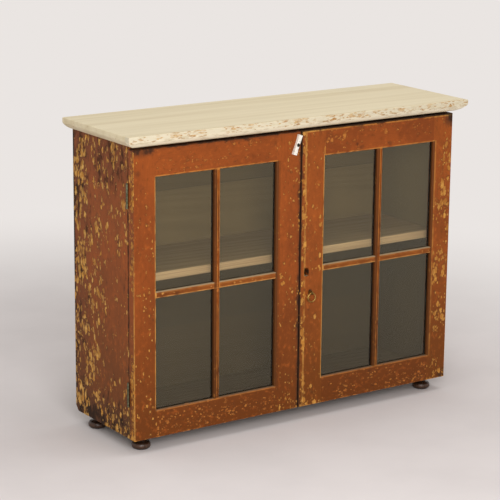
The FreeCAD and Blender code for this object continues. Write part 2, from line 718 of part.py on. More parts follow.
def cross_bar(upright):
    """Glazing bar between the stiles, cut to fit round the upright one."""
    half = BAR / 2
    bar = box(SIGHT_X[0], SIGHT_X[1], Y_FRONT, Y_DOOR_BACK, BAR_Z - half, BAR_Z + half)
    bar = bar.fuse([cross_tenon(SIGHT_X[0], -1, 0), cross_tenon(SIGHT_X[1], 1, 0)])
    return bar.cut(PANE_CUTS + [upright]).removeSplitter()


def pane(opening):
    x0, x1, z0, z1 = opening
    reach = GLASS_REBATE - GLASS_EDGE_PLAY
    return box(x0 - reach, x1 + reach, Y_GLASS, Y_GLASS + GLASS_THICK, z0 - reach, z1 + reach)


def glazing_beads():
    beads = []
    for opening in pane_openings().values():
        beads += around_opening(bead_outline, opening, 0, GLASS_REBATE)
    return beads


def door_pieces():
    """Every piece that both doors have, in the left door's place."""
    upright = upright_bar()
    pieces = {
        "hinge_stile": hinge_stile(),
        "meeting_stile": meeting_stile(),
        "top_rail": rail(RAIL_Z[1][0], RAIL_Z[1][1], SIGHT_Z[1], 1),
        "bottom_rail": rail(RAIL_Z[0][0], RAIL_Z[0][1], SIGHT_Z[0], -1),
        "upright_bar": upright,
        "cross_bar": cross_bar(upright),
        "glazing_beads": group(glazing_beads()),
        "joint_pegs": group(joint_peg_list()),
        "hinge_leaves": group(door_leaves()),
    }
    for name, opening in pane_openings().items():
        pieces["pane_" + name] = pane(opening)
    return pieces


# Turn button

def turn_button():
    """Flat waisted wooden button with softened front edges, standing tilted on its screw."""
    end = BUTTON_WIDTH / 2
    waist = BUTTON_WAIST / 2
    half = BUTTON_LENGTH / 2
    y0 = Y_FRONT - BUTTON_PLAY
    corners = [Vector(s * end, y0, t * half) for s, t in ((-1, -1), (1, -1), (1, 1), (-1, 1))]
    outline = [
        line(corners[0], corners[1]),
        arc(corners[1], Vector(waist, y0, 0), corners[2]),
        line(corners[2], corners[3]),
        arc(corners[3], Vector(-waist, y0, 0), corners[0]),
    ]
    body = face_of(outline).extrude(NORTH * -BUTTON_THICK)
    y_face = y0 - BUTTON_THICK
    front_edges = [edge for edge in body.Edges if all(v.Y < y_face + BUTTON_ARRIS for v in edge.Vertexes)]
    body = body.makeFillet(BUTTON_ARRIS, front_edges)
    hole_start = Vector(0, y0 + OVERCUT, 0)
    hole_length = BUTTON_THICK + 2 * OVERCUT
    body = body.cut(cylinder(BUTTON_SCREW_RADIUS + TURNING_PLAY, hole_length, hole_start, -NORTH))
    body.rotate(Vector(0, 0, 0), NORTH, BUTTON_TILT)
    body.translate(Vector(X_BUTTON, 0, Z_BUTTON))
    return body


def button_screw_shank():
    start = Vector(X_BUTTON, Y_FRONT + BUTTON_SCREW_DEEP, Z_BUTTON)
    length = BUTTON_SCREW_DEEP + BUTTON_THICK + 2 * BUTTON_PLAY
    return cylinder(BUTTON_SCREW_RADIUS, length, start, -NORTH)


def turn_button_screw():
    """Round-headed slotted screw that the button turns on."""
    y_seat = Y_FRONT - BUTTON_THICK - 2 * BUTTON_PLAY
    r = BUTTON_SCREW_HEAD
    h = BUTTON_HEAD_HEIGHT
    ball = (r * r + h * h) / (2 * h)
    seat = Vector(X_BUTTON, y_seat, Z_BUTTON)
    dome = Part.makeSphere(ball, seat + NORTH * (ball - h))
    head = cylinder(r, h, seat, -NORTH).common(dome)
    w = BUTTON_SLOT / 2
    slot = box(X_BUTTON - r, X_BUTTON + r, y_seat - h, y_seat - h + BUTTON_SLOT, Z_BUTTON - w, Z_BUTTON + w)
    return button_screw_shank().fuse(head).removeSplitter().cut(slot)


# Lock and keeper

def lock_space():
    x0 = -X_MEETING_EDGE
    half = LOCK_HEIGHT / 2
    return box(x0, x0 + LOCK_WIDTH, Y_DOOR_BACK - LOCK_DEEP, Y_DOOR_BACK, Z_KEYHOLE - half, Z_KEYHOLE + half)


def keyhole():
    w = KEYHOLE_WIDTH / 2
    h = KEYHOLE_HEIGHT / 2
    return box(X_KEYHOLE - w, X_KEYHOLE + w, Y_FRONT - OVERCUT, Y_BOLT, Z_KEYHOLE - h, Z_KEYHOLE + h)


def bolt_block(x0, x1, play):
    t = BOLT_THICK / 2 + play
    return box(x0, x1, Y_BOLT - t, Y_BOLT + t, Z_BOLT[0] - play, Z_BOLT[1] + play)


def lock_bolt():
    """Square bolt with a notch underneath for the key."""
    x0 = -X_MEETING_EDGE + BOLT_BACK
    bolt = bolt_block(x0, x0 + BOLT_LENGTH, 0)
    w = BOLT_NOTCH_WIDTH / 2
    notch = box(X_KEYHOLE - w, X_KEYHOLE + w, Y_BOLT - BOLT_THICK, Y_BOLT + BOLT_THICK,
                Z_BOLT[0] - OVERCUT, Z_BOLT[0] + BOLT_NOTCH)
    return bolt.cut(notch)


def lock_case():
    """Hollow lock let into the back of the stile: bolt way, key chamber and drill pin."""
    x0 = -X_MEETING_EDGE
    t = BOLT_THICK / 2 + BOLT_PLAY
    way = bolt_block(x0 - OVERCUT, x0 + BOLT_BACK + BOLT_LENGTH + BOLT_PLAY, BOLT_PLAY)
    c = CHAMBER_WIDTH / 2
    chamber = box(X_KEYHOLE - c, X_KEYHOLE + c, Y_BOLT - t, Y_BOLT + t, Z_KEYHOLE - CHAMBER_DROP, Z_BOLT[0])
    body = lock_space().cut([way, chamber, keyhole()])
    pin = cylinder(DRILL_PIN_RADIUS, 2 * t, Vector(X_KEYHOLE, Y_BOLT + t, Z_KEYHOLE), -NORTH)
    return body.fuse(pin).removeSplitter()


def keeper_plate_block():
    half = KEEPER_HEIGHT / 2
    z = sum(Z_BOLT) / 2
    return box(X_MEETING_EDGE - KEEPER_THICK, X_MEETING_EDGE, Y_BOLT - LOCK_DEEP / 2, Y_BOLT + LOCK_DEEP / 2,
               z - half, z + half)


def keeper_slot():
    return bolt_block(X_MEETING_EDGE - BOLT_THROW - KEEPER_PLAY, X_MEETING_EDGE + OVERCUT, KEEPER_PLAY)


# Ring pull

def screw_eye():
    """Wire eye with a collar and a shank turned into the stile."""
    loop = Part.makeTorus(EYE_RADIUS, EYE_WIRE, Vector(X_PULL, Y_PULL, Z_PULL), EAST)
    collar = cylinder(EYE_COLLAR_RADIUS, EYE_COLLAR, Vector(X_PULL, Y_FRONT, Z_PULL), -NORTH)
    neck_length = EYE_STANDOFF - EYE_RADIUS
    neck = cylinder(EYE_SHANK, neck_length, Vector(X_PULL, Y_FRONT, Z_PULL), -NORTH)
    return loop.fuse([collar, neck, eye_shank()]).removeSplitter()


def eye_shank():
    return cylinder(EYE_SHANK, EYE_SHANK_DEEP, Vector(X_PULL, Y_FRONT, Z_PULL), NORTH)


def ring_pull():
    return Part.makeTorus(RING_RADIUS, RING_WIRE, Vector(X_PULL, Y_PULL, Z_RING_TOP - RING_RADIUS), NORTH)


# Assembly

def case_nodes():
    side = left_side()
    nails = back_nail_list()
    cleat = left_shelf_cleat()
    nodes = {
        "left_side": side,
        "right_side": mirrored(side),
        "bottom_board": bottom_board().cut(nails),
        "front_stretcher": stretcher(STRETCHER_Y[0]).cut(slab_screws()),
        "back_stretcher": stretcher(STRETCHER_Y[1]).cut(slab_screws() + nails),
        "top_slab": top_slab(),
        "shelf": shelf().cut(nails),
        "left_shelf_cleat": cleat,
        "right_shelf_cleat": mirrored(cleat),
        "back_nails": group(nails),
        "slab_screws": group(slab_screws()),
        "case_hinge_leaves": group(case_leaves() + [mirrored(s) for s in case_leaves()]),
        "hinge_pins": group(hinge_pins() + [mirrored(s) for s in hinge_pins()]),
    }
    nodes.update(back_boards())
    nodes.update({name: foot(x, y) for name, (x, y) in foot_places().items()})
    return nodes


def door_nodes():
    nodes = {}
    for name, shape in door_pieces().items():
        nodes["left_" + name] = shape
        nodes["right_" + name] = mirrored(shape)
    left_cuts = [button_screw_shank(), keeper_plate_block(), keeper_slot()]
    nodes["left_meeting_stile"] = nodes["left_meeting_stile"].cut(left_cuts)
    right_cuts = [lock_space(), keyhole(), eye_shank()]
    nodes["right_meeting_stile"] = nodes["right_meeting_stile"].cut(right_cuts)
    nodes["turn_button"] = turn_button()
    nodes["turn_button_screw"] = turn_button_screw()
    nodes["keeper_plate"] = keeper_plate_block().cut(keeper_slot())
    nodes["lock_case"] = lock_case()
    nodes["lock_bolt"] = lock_bolt()
    nodes["screw_eye"] = screw_eye()
    nodes["ring_pull"] = ring_pull()
    return nodes


os.makedirs("parts", exist_ok=True)
for node_nodes in (case_nodes(), door_nodes()):
    for node_name, node_shape in node_nodes.items():
        node_shape.exportStep("parts/%s.step" % node_name)
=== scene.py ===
from math import pi

import bpy
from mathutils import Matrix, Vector


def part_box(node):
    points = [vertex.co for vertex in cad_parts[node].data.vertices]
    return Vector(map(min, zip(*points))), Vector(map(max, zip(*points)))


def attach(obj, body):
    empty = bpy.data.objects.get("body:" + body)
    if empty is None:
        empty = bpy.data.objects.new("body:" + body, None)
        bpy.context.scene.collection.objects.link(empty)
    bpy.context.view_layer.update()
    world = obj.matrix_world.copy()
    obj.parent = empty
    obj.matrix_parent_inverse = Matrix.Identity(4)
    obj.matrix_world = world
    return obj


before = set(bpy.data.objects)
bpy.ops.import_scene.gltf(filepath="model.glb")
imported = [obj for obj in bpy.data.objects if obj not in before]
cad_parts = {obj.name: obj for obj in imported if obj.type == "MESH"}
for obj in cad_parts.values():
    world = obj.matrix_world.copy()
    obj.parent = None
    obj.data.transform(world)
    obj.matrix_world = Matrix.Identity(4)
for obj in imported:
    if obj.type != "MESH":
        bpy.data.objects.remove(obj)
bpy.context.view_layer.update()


# Case sides
# Two wide pine boards, painted red-brown over an ochre undercoat. Knocks and damp have flaked
# the paint, most of all towards the back edge and the floor. The inner faces were left bare.

def tone(red, green, blue):
    """A paint-chart colour, 0 to 255, as the shader's linear colour."""
    parts = [v / 255 for v in (red, green, blue)]
    return [v / 12.92 if v <= 0.04045 else ((v + 0.055) / 1.055) ** 2.4 for v in parts] + [1.0]


def put(tree, kind, feeds=(), **traits):
    """A node, with each socket fed by a value or by another node's output."""
    node = tree.nodes.new(kind)
    for trait, value in traits.items():
        setattr(node, trait, value)
    for socket, value in dict(feeds).items():
        if isinstance(value, bpy.types.NodeSocket):
            tree.links.new(value, node.inputs[socket])
        else:
            node.inputs[socket].default_value = value
    return node


def calc(tree, operation, a, b=0.0, c=0.0):
    return put(tree, "ShaderNodeMath", {0: a, 1: b, 2: c}, operation=operation).outputs[0]


def times(tree, *shares):
    product = shares[0]
    for share in shares[1:]:
        product = calc(tree, "MULTIPLY", product, share)
    return product


def most(tree, *shares):
    top = shares[0]
    for share in shares[1:]:
        top = calc(tree, "MAXIMUM", top, share)
    return top


def away(tree, value, level):
    """How far a value is from a level, either way."""
    return calc(tree, "ABSOLUTE", calc(tree, "SUBTRACT", value, level))


def rise(tree, value, low, high, top=1.0):
    """0 at low and the top share at high, with a soft step between; it falls where low is above high."""
    feeds = {"Value": value, "From Min": low, "From Max": high, "To Max": top}
    return put(tree, "ShaderNodeMapRange", feeds, interpolation_type="SMOOTHSTEP").outputs[0]


def mixed(tree, share, a, b):
    return put(tree, "ShaderNodeMix", {0: share, 6: a, 7: b}, data_type="RGBA").outputs[2]


def drawn_out(tree, place, stretch, shift=(0, 0, 0)):
    """Coordinates pulled out along the grain."""
    feeds = {"Vector": place, "Scale": stretch, "Location": shift}
    return put(tree, "ShaderNodeMapping", feeds).outputs[0]


def cloud(tree, place, scale, detail=3.0, roughness=0.55):
    feeds = {"Vector": place, "Scale": scale, "Detail": detail, "Roughness": roughness}
    return put(tree, "ShaderNodeTexNoise", feeds).outputs[0]


def near(tree, place, centre, reach):
    """1 at a spot on the object, fading to 0 at its reach each way."""
    offset = drawn_out(tree, place, [1 / r for r in reach], [-c / r for c, r in zip(centre, reach)])
    distance = put(tree, "ShaderNodeVectorMath", {0: offset}, operation="LENGTH").outputs["Value"]
    return rise(tree, distance, 1.0, 0.2)


def new_finish(name):
    """An empty finish and the coordinates of a piece to lay it out by."""
    material = bpy.data.materials.new(name)
    material.use_nodes = True
    tree = material.node_tree
    tree.nodes.clear()
    place = put(tree, "ShaderNodeTexCoord").outputs["Object"]
    return material, tree, place, put(tree, "ShaderNodeSeparateXYZ", {0: place}).outputs


def lay_on(tree, colour, roughness, height, relief, **constants):
    """Brings colour, roughness and relief together in the shader of a finish."""
    feeds = {"Strength": 0.6, "Distance": relief, "Height": height}
    bump = put(tree, "ShaderNodeBump", feeds).outputs[0]
    feeds = {"Base Color": colour, "Roughness": roughness, "Normal": bump}
    feeds.update((socket.replace("_", " "), value) for socket, value in constants.items())
    put(tree, "ShaderNodeOutputMaterial", {0: put(tree, "ShaderNodeBsdfPrincipled", feeds).outputs[0]})


def dress(material, *nodes):
    """Puts a finish on pieces of the frame."""
    for node in nodes:
        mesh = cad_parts[node].data
        mesh.materials.clear()
        mesh.materials.append(material)


def flaking(tree, place, scale, loss):
    """Shares of paint gone and of dirty rim: ragged flakes, one to a cell, more where paint is loose."""
    feeds = {"Vector": place, "Scale": 1.7 * scale, "Detail": 3.0}
    ragged = put(tree, "ShaderNodeTexNoise", feeds).outputs["Color"]
    feeds = {0: ragged, 1: [1.05 / scale] * 3, 2: place}
    shifted = put(tree, "ShaderNodeVectorMath", feeds, operation="MULTIPLY_ADD").outputs[0]
    cells = put(tree, "ShaderNodeTexVoronoi", {"Vector": shifted, "Scale": scale}).outputs
    luck, size, depth = put(tree, "ShaderNodeSeparateXYZ", {0: cells["Color"]}).outputs
    smallest = calc(tree, "MULTIPLY_ADD", loss, 0.24, 0.22)
    reach = calc(tree, "MULTIPLY_ADD", size, 0.26, smallest)
    inside = calc(tree, "SUBTRACT", reach, cells["Distance"])
    strength = calc(tree, "MULTIPLY_ADD", depth, 0.55, 0.45)
    chosen = times(tree, calc(tree, "LESS_THAN", luck, loss), strength)
    gone = times(tree, rise(tree, inside, -0.02, 0.18), chosen)
    rim = times(tree, rise(tree, inside, -0.2, 0.0), chosen)
    return gone, rim


def worn_paint(name, coat, dull, bare_wood, grain, cell, loss, dirt, rub):
    """Old paint on pine: a clouded top coat, flakes down to the undercoat, dirt and painted shade, rubbed
    edges and painted highlights.

    coat and dull are the two tones of the paint and bare_wood the two tones under it. grain is the stretch
    along the wood, and cell how many flakes lie along a metre. loss, dirt and rub take the tree and the
    place on the object and give their share there; dirt may bring painted shade along with the dirt, and
    rub painted highlights along with the rubbed edges.
    """
    material, tree, place, (x, y, z) = new_finish(name)
    along = drawn_out(tree, place, grain)
    hair = drawn_out(tree, place, [1 if g == 1 else 0.05 for g in grain])
    brush = cloud(tree, hair, 330.0, 2.0)
    mottle = cloud(tree, along, 95.0, 4.0, 0.65)
    darker_tone = tone(0.78 * dull[0], 0.82 * dull[1], 0.46 * dull[2])
    thin = tone(1.16 * coat[0], 1.22 * coat[1], 1.25 * coat[2])
    paint = mixed(tree, rise(tree, cloud(tree, along, 11.0, 4.0), 0.36, 0.68), tone(*coat), tone(*dull))
    paint = mixed(tree, rise(tree, brush, 0.42, 0.75, top=0.35), paint, tone(*dull))
    # Darker towards the floor: partly dirt, partly painted shade for light falling from above.
    paint = mixed(tree, rise(tree, z, 0.54, 0.0, top=0.9), paint, darker_tone)
    paint = mixed(tree, rise(tree, mottle, 0.52, 0.72, top=0.5), paint, thin)
    paint = mixed(tree, rise(tree, mottle, 0.46, 0.28, top=0.4), paint, darker_tone)
    # The dirt share carries painted shade too, where the dirt function gives it; here it darkens the paint.
    darkening = dirt(tree, place, x, y, z)
    paint = mixed(tree, rise(tree, darkening, 0.2, 1.2, top=0.6), paint, tone(60, 38, 22))
    patchy = rise(tree, cloud(tree, along, 21.0), 0.33, 0.6, top=1.2)
    loose = times(tree, loss(tree, place, x, y, z), patchy)
    flakes = flaking(tree, along, cell, loose)
    specks = flaking(tree, along, 2.1 * cell, times(tree, loose, 0.7))
    patches = flaking(tree, along, 0.6 * cell, times(tree, loose, loose, 0.22))
    gone, rim = (most(tree, *shares) for shares in zip(flakes, specks, patches))
    bare = mixed(tree, rise(tree, cloud(tree, along, 130.0), 0.4, 0.65), *(tone(*c) for c in bare_wood))
    # Dark blotches of dirt, and of painted shade where that share runs high.
    smear_and_shade = calc(tree, "MULTIPLY_ADD", darkening, 0.34, cloud(tree, along, 46.0, 4.0, 0.6))
    soot_and_shade = rise(tree, smear_and_shade, 0.68, 0.94, top=0.88)
    # Rubbed lines, and painted highlights where the rub function gives them.
    rubbed = times(tree, rub(tree, place, x, y, z), rise(tree, cloud(tree, along, 48.0), 0.3, 0.56))
    colour = mixed(tree, rubbed, paint, tone(*bare_wood[1]))
    colour = mixed(tree, soot_and_shade, colour, tone(40, 29, 21))
    colour = mixed(tree, times(tree, rim, 0.5), colour, tone(64, 40, 20))
    colour = mixed(tree, gone, colour, bare)
    roughness = calc(tree, "ADD", rise(tree, most(tree, gone, soot_and_shade), 0.0, 1.0, top=0.3), 0.48)
    height = calc(tree, "MULTIPLY_ADD", brush, 0.15, times(tree, gone, -1.0))
    return material, tree, (x, y, z), colour, roughness, height


case_low, case_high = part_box("right_side")
case_inside, case_front = case_low[0], case_low[1]
case_outside, case_back = case_high[0], case_high[1]
shelf_foot, shelf_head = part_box("shelf")[0][2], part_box("shelf")[1][2]


def outer_face(tree, x):
    """1 on the outer face of either side, 0 further in."""
    return rise(tree, calc(tree, "ABSOLUTE", x), case_outside - 0.0016, case_outside - 0.0006)


def side_loss(tree, place, x, y, z):
    """Flakes: towards the back, the floor and the top, in one bad patch and along the front corner."""
    back = rise(tree, y, case_back - 0.204, case_back - 0.054, top=0.76)
    foot = rise(tree, z, 0.22, 0.07, top=0.64)
    head = rise(tree, z, 0.4, 0.55, top=0.46)
    corner = rise(tree, y, case_front + 0.016, case_front + 0.003, top=0.4)
    patch_middle, patch_reach = (-case_outside, case_back - 0.048, 0.46), (0.1, 0.045, 0.19)
    bad_patch = times(tree, near(tree, place, patch_middle, patch_reach), 0.85)
    return most(tree, back, foot, head, times(tree, corner, outer_face(tree, x)), bad_patch, 0.13)


def side_dirt_and_shade(tree, place, x, y, z):
    """Dirt low down and towards the back, darker towards the top, and painted shade along the back edge and
    where the side meets the doors.
    """
    foot = rise(tree, z, 0.17, 0.05)
    back = rise(tree, y, case_back - 0.154, case_back - 0.024, top=0.72)
    # Painted shade: a dark line along the back edge.
    back_edge = rise(tree, y, case_back - 0.010, case_back - 0.005, top=1.5)
    head = rise(tree, z, 0.5, 0.70, top=0.75)
    # Painted shade along the front edge, where the side meets the doors.
    seam_shade = rise(tree, y, case_front + 0.005, case_front + 0.001, top=0.9)
    dirtiest = most(tree, back, back_edge, foot, head, seam_shade, 0.34)
    return times(tree, dirtiest, rise(tree, outer_face(tree, x), -0.6, 1.0))


def side_rub(tree, place, x, y, z):
    """A rubbed line low on the front edge."""
    front = rise(tree, y, case_front + 0.0025, case_front + 0.001, top=0.8)
    return times(tree, front, rise(tree, z, 0.2, 0.08))


side_paint, tree, (x, y, z), colour, roughness, height = worn_paint(
    "side_paint", coat=(150, 75, 24), dull=(130, 66, 21), bare_wood=((190, 132, 56), (220, 172, 96)),
    grain=(1, 1, 0.56), cell=94.0, loss=side_loss, dirt=side_dirt_and_shade, rub=side_rub)
inner = rise(tree, calc(tree, "ABSOLUTE", x), case_inside + 0.0015, case_inside + 0.0005)
# The bare inner faces are painted darker below the shelf: painted shade in the lower compartment.
unpainted = mixed(tree, rise(tree, z, shelf_head, shelf_foot), tone(110, 92, 64), tone(78, 62, 40))
lay_on(tree, mixed(tree, inner, colour, unpainted), roughness, height, 0.0006, Specular_IOR_Level=0.15)
dress(side_paint, "left_side", "right_side")


# Bottom, stretchers, shelf, cleats and back boards
# Sawn and planed pine that was never painted, gone grey-brown with age inside the case.
# The shelf lies on two cleats, its front edge rubbed pale; the back boards are half-lapped and nailed.

back_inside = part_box("back_board_1")[0][1]


def bare_pine(name, light, dark, grain, pale_edge=None, shift=(0, 0, 0), joints=()):
    """Unpainted softwood with growth rings along the grain and the dirt of years.

    pale_edge is where a rubbed front edge lies; without one, the wood inside the case is painted darker
    below the shelf, a painted shade. shift gives a board a grain of its own, and joints are the levels where
    dirt has gathered between two boards.
    """
    material, tree, place, (x, y, z) = new_finish(name)
    place = drawn_out(tree, place, (1, 1, 1), shift)
    along = drawn_out(tree, place, grain)
    sway = put(tree, "ShaderNodeTexNoise", {"Vector": along, "Scale": 7.0, "Detail": 2.0}).outputs["Color"]
    feeds = {0: sway, 1: [0.1] * 3, 2: along}
    bent = put(tree, "ShaderNodeVectorMath", feeds, operation="MULTIPLY_ADD").outputs[0]
    feeds = {"Vector": bent, "Scale": 24.0, "Distortion": 3.5, "Detail": 3.0, "Detail Scale": 1.6}
    rings = put(tree, "ShaderNodeTexWave", feeds, bands_direction="DIAGONAL").outputs["Fac"]
    fibre = cloud(tree, drawn_out(tree, place, [1 if g == 1 else 0.01 for g in grain]), 420.0, 2.0)
    wood = mixed(tree, rise(tree, rings, 0.3, 1.0, top=0.6), tone(*light), tone(*dark))
    wood = mixed(tree, rise(tree, fibre, 0.5, 0.75, top=0.4), wood, tone(*dark))
    darkening = tone(*(0.6 * c for c in dark))
    wood = mixed(tree, rise(tree, cloud(tree, along, 5.0), 0.5, 0.75, top=0.4), wood, darkening)
    if pale_edge:
        pale = mixed(tree, rise(tree, fibre, 0.4, 0.7), tone(202, 166, 124), tone(172, 136, 98))
        wood = mixed(tree, rise(tree, y, pale_edge + 0.0016, pale_edge + 0.0008), wood, pale)
    else:
        # Painted shade: inside the case, the wood below the shelf is painted darker.
        shut_in = rise(tree, y, back_inside + 0.0012, back_inside + 0.0004)
        below_shelf = rise(tree, z, shelf_head, shelf_foot - 0.14, top=0.72)
        painted_shade_below = tone(0.44 * dark[0], 0.4 * dark[1], 0.24 * dark[2])
        wood = mixed(tree, times(tree, below_shelf, shut_in), wood, painted_shade_below)
    for level in joints:
        wood = mixed(tree, rise(tree, away(tree, z, level), 0.0022, 0.0008, top=0.75), wood, darkening)
    roughness = calc(tree, "ADD", rise(tree, rings, 0.0, 1.0, top=0.12), 0.7)
    height = calc(tree, "MULTIPLY_ADD", rings, 0.3, fibre)
    lay_on(tree, wood, roughness, height, 0.0003, Specular_IOR_Level=0.2)
    return material


ALONG_X, ALONG_Y = (0.06, 1, 1), (1, 0.06, 1)
shelf_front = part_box("shelf")[0][1]
dress(bare_pine("shelf_pine", (150, 123, 88), (138, 112, 78), ALONG_X, pale_edge=shelf_front), "shelf")
level_pine = bare_pine("level_pine", (134, 109, 74), (120, 97, 64), ALONG_X)
dress(level_pine, "bottom_board", "front_stretcher", "back_stretcher")
cleat_pine = bare_pine("cleat_pine", (86, 72, 54), (72, 59, 44), ALONG_Y)
dress(cleat_pine, "left_shelf_cleat", "right_shelf_cleat")
for number, shade in ((1, 1.0), (2, 0.94), (3, 1.04), (4, 0.97)):
    board = "back_board_%d" % number
    board_low, board_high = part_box(board)
    light, dark = ([shade * c for c in colour] for colour in ((116, 94, 62), (109, 88, 57)))
    own_grain = (0.83 * number, 0, 0.29 * number)
    dress(bare_pine("back_pine_%d" % number, light, dark, ALONG_X, shift=own_grain,
                    joints=(board_low[2], board_high[2])), board)


# Back nails and slab screws
# Cut nails with square heads through the back boards, and countersunk screws driven up
# through the stretchers into the slab. Dull steel with specks of rust.

def dull_metal(name, bright, dark, rust, polish, rusty):
    """Old metal with tarnish in clouds and rust in specks; rusty is how far the specks have spread."""
    material, tree, place, _ = new_finish(name)
    tarnish = cloud(tree, place, 140.0, 4.0, 0.6)
    specks = cloud(tree, place, 620.0, 3.0, 0.6)
    metal = mixed(tree, rise(tree, tarnish, 0.35, 0.65), tone(*bright), tone(*dark))
    eaten = rise(tree, calc(tree, "ADD", specks, tarnish), 1.24 - 2 * rusty, 1.4 - 2 * rusty)
    metal = mixed(tree, eaten, metal, tone(*rust))
    roughness = calc(tree, "ADD", rise(tree, most(tree, eaten, tarnish), 0.3, 1.0, top=0.4), 1 - polish)
    lay_on(tree, metal, roughness, specks, 0.0002, Metallic=1.0)
    return material


old_steel = dull_metal("old_steel", (140, 136, 122), (92, 88, 78), (84, 52, 34), polish=0.7, rusty=0.03)
dress(old_steel, "back_nails", "slab_screws")


# Feet
# Four small bun feet turned from hardwood, dowelled into the bottom board.
# Stained nearly black, rubbed brown round the widest part of the belly.

belly_level, belly_half = 0.010, 0.008
material, tree, place, (x, y, z) = new_finish("foot_stain")
grain = cloud(tree, drawn_out(tree, place, (1, 1, 0.15)), 260.0)
turning = cloud(tree, drawn_out(tree, place, (0.02, 0.02, 1)), 900.0, 2.0)
belly = rise(tree, away(tree, z, belly_level), belly_half, 0.001, top=0.6)
stain = mixed(tree, rise(tree, grain, 0.35, 0.7), tone(52, 31, 18), tone(26, 17, 12))
stain = mixed(tree, times(tree, belly, rise(tree, grain, 0.35, 0.65)), stain, tone(88, 54, 30))
lay_on(tree, stain, rise(tree, grain, 0.1, 0.9, top=0.7), calc(tree, "ADD", turning, grain), 0.0002)
dress(material, "foot_front_left", "foot_front_right", "foot_back_left", "foot_back_right")


# Top slab
# One thick pine board with a moulded edge to the front and both ends, painted cream.
# The brush ran lengthwise; the nose is chipped through to a tan older coat.

def facing_up(tree, kind):
    """How far a face looks up, from -1 to 1, by one of the two kinds of normal."""
    normal = put(tree, "ShaderNodeNewGeometry").outputs[kind]
    return put(tree, "ShaderNodeSeparateXYZ", {0: normal}).outputs[2]


slab_low, slab_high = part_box("top_slab")
slab_front, slab_top, slab_end = slab_low[1], slab_high[2], slab_high[0]
material, tree, place, (x, y, z) = new_finish("cream_paint")
brush = cloud(tree, drawn_out(tree, place, (0.02, 1, 1)), 190.0)
streak = cloud(tree, drawn_out(tree, place, (0.03, 1, 1)), 42.0, 4.0)
blotch = cloud(tree, drawn_out(tree, place, (0.5, 1, 1)), 9.0)
flat = drawn_out(tree, place, (0.3, 1, 1))
scuff = cloud(tree, flat, 110.0, 4.0, 0.65)
cream = mixed(tree, rise(tree, streak, 0.35, 0.7), tone(225, 211, 178), tone(214, 198, 162))
cream = mixed(tree, rise(tree, brush, 0.5, 0.8, top=0.35), cream, tone(204, 187, 148))
cream = mixed(tree, rise(tree, blotch, 0.52, 0.75, top=0.35), cream, tone(212, 200, 168))
stroke = times(tree, rise(tree, streak, 0.66, 0.74), rise(tree, blotch, 0.5, 0.6, top=0.4))
cream = mixed(tree, stroke, cream, tone(176, 146, 100))
upward = facing_up(tree, "True Normal")
to_front = rise(tree, y, slab_front + 0.020, slab_front + 0.012)
# Painted light: the nose is painted darker where it faces forward and lighter where it turns down, to even
# out its shading.
nose = times(tree, to_front, rise(tree, upward, 0.97, 0.7))
cream = mixed(tree, times(tree, nose, 0.75), cream, tone(205, 196, 173))
# Painted light on the downward face of the nose.
under = times(tree, to_front, rise(tree, upward, 0.1, -0.5, top=0.9))
cream = mixed(tree, under, cream, tone(241, 231, 203))
cream = mixed(tree, times(tree, nose, rise(tree, scuff, 0.48, 0.62, top=0.6)), cream, tone(198, 182, 148))
knocked = times(tree, rise(tree, y, slab_front + 0.0065, slab_front + 0.0025),
                rise(tree, z, slab_top - 0.034, slab_top - 0.010),
                rise(tree, cloud(tree, place, 16.0, 2.0), 0.3, 0.56, top=0.62))
ends = rise(tree, calc(tree, "ABSOLUTE", x), slab_end - 0.007, slab_end - 0.0015, top=0.08)
loose = most(tree, knocked, ends)
chipped = most(tree, flaking(tree, flat, 126.0, loose)[0], flaking(tree, flat, 280.0, loose)[0])
older_share = rise(tree, cloud(tree, place, 160.0), 0.4, 0.62)
older = mixed(tree, older_share, tone(168, 122, 70), tone(198, 160, 106))
colour = mixed(tree, chipped, cream, older)
height = calc(tree, "MULTIPLY_ADD", calc(tree, "ADD", brush, streak), 0.2, times(tree, chipped, -1.0))
roughness = calc(tree, "ADD", rise(tree, chipped, 0.0, 1.0, top=0.25), 0.55)
lay_on(tree, colour, roughness, height, 0.0006, Specular_IOR_Level=0.2)
dress(material, "top_slab")


# Hinges
# Four steel butt hinges with both leaves let in flush, worn to a grey-green metal on the knuckles.
# Each leaf is held by three slotted screws, the middle one set further from the pin.

hinge_steel = dull_metal("hinge_steel", (118, 116, 92), (78, 78, 60), (96, 62, 36), polish=0.66, rusty=0.0)
dress(hinge_steel, "case_hinge_leaves", "left_hinge_leaves", "right_hinge_leaves", "hinge_pins")


def turned_by(tree, angles):
    return put(tree, "FunctionNodeEulerToRotation", {0: angles}).outputs[0]


def new_growth(name, inputs, result):
    """An empty node tree with named inputs and one mesh as its result."""
    tree = bpy.data.node_groups.new(name, "GeometryNodeTree")
    for title, kind in inputs:
        tree.interface.new_socket(title, in_out="INPUT", socket_type="NodeSocket" + kind)
    tree.interface.new_socket(result, in_out="OUTPUT", socket_type="NodeSocketGeometry")
    return tree, put(tree, "NodeGroupInput").outputs


def set_out(tree, points, piece, turn, finish):
    """Sets one piece on each point, as real mesh in its finish."""
    feeds = {"Points": points, "Instance": piece, "Rotation": turn}
    placed = put(tree, "GeometryNodeInstanceOnPoints", feeds).outputs[0]
    solid = put(tree, "GeometryNodeRealizeInstances", {0: placed}).outputs[0]
    finished = put(tree, "GeometryNodeSetMaterial", {"Geometry": solid, "Material": finish}).outputs[0]
    put(tree, "NodeGroupOutput", {0: finished})


